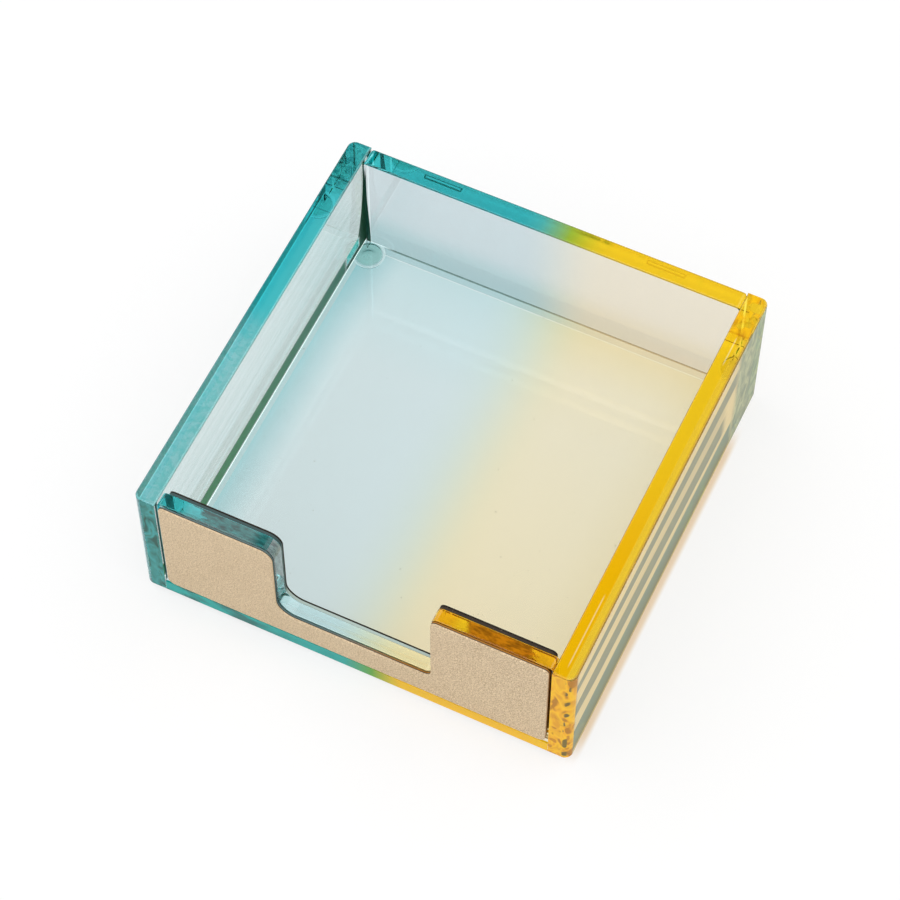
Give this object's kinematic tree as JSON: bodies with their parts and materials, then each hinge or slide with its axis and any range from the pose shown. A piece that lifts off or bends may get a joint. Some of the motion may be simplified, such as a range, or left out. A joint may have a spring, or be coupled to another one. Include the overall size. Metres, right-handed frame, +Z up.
{
  "type": "memo pad tray",
  "caption": "Square open memo tray of clear dyed acrylic, with a finger notch and a leather plaque in its front wall and four bumper feet.",
  "frame": {"origin": "centre of the footprint, at the underside of the feet", "axes": "+X to the right seen from the front, +Y to the rear, +Z up"},
  "size_m": [0.1, 0.1016, 0.037],
  "materials": {
    "teal_acrylic": "polished, clear, dyed teal",
    "amber_acrylic": "polished, clear, dyed amber",
    "blended_acrylic": "polished, clear, dyed from teal on the left to amber on the right",
    "beige_leather": "fine grain, matt",
    "dark_board": "matt",
    "clear_tape": "sticky film, blotchy",
    "clear_bumper": "clear, soft"
  },
  "bodies": {
    "root": {"left_wall": "teal_acrylic", "right_wall": "amber_acrylic", "rear_wall": "blended_acrylic", "front_wall": "blended_acrylic", "floor_panel": "blended_acrylic", "plaque_leather": "beige_leather", "plaque_board": "dark_board", "plaque_tape": "clear_tape", "liner_board": "dark_board", "liner_leather": "beige_leather", "foot_front_left": "clear_bumper", "foot_front_right": "clear_bumper", "foot_rear_left": "clear_bumper", "foot_rear_right": "clear_bumper"}
  },
  "joints": []
}
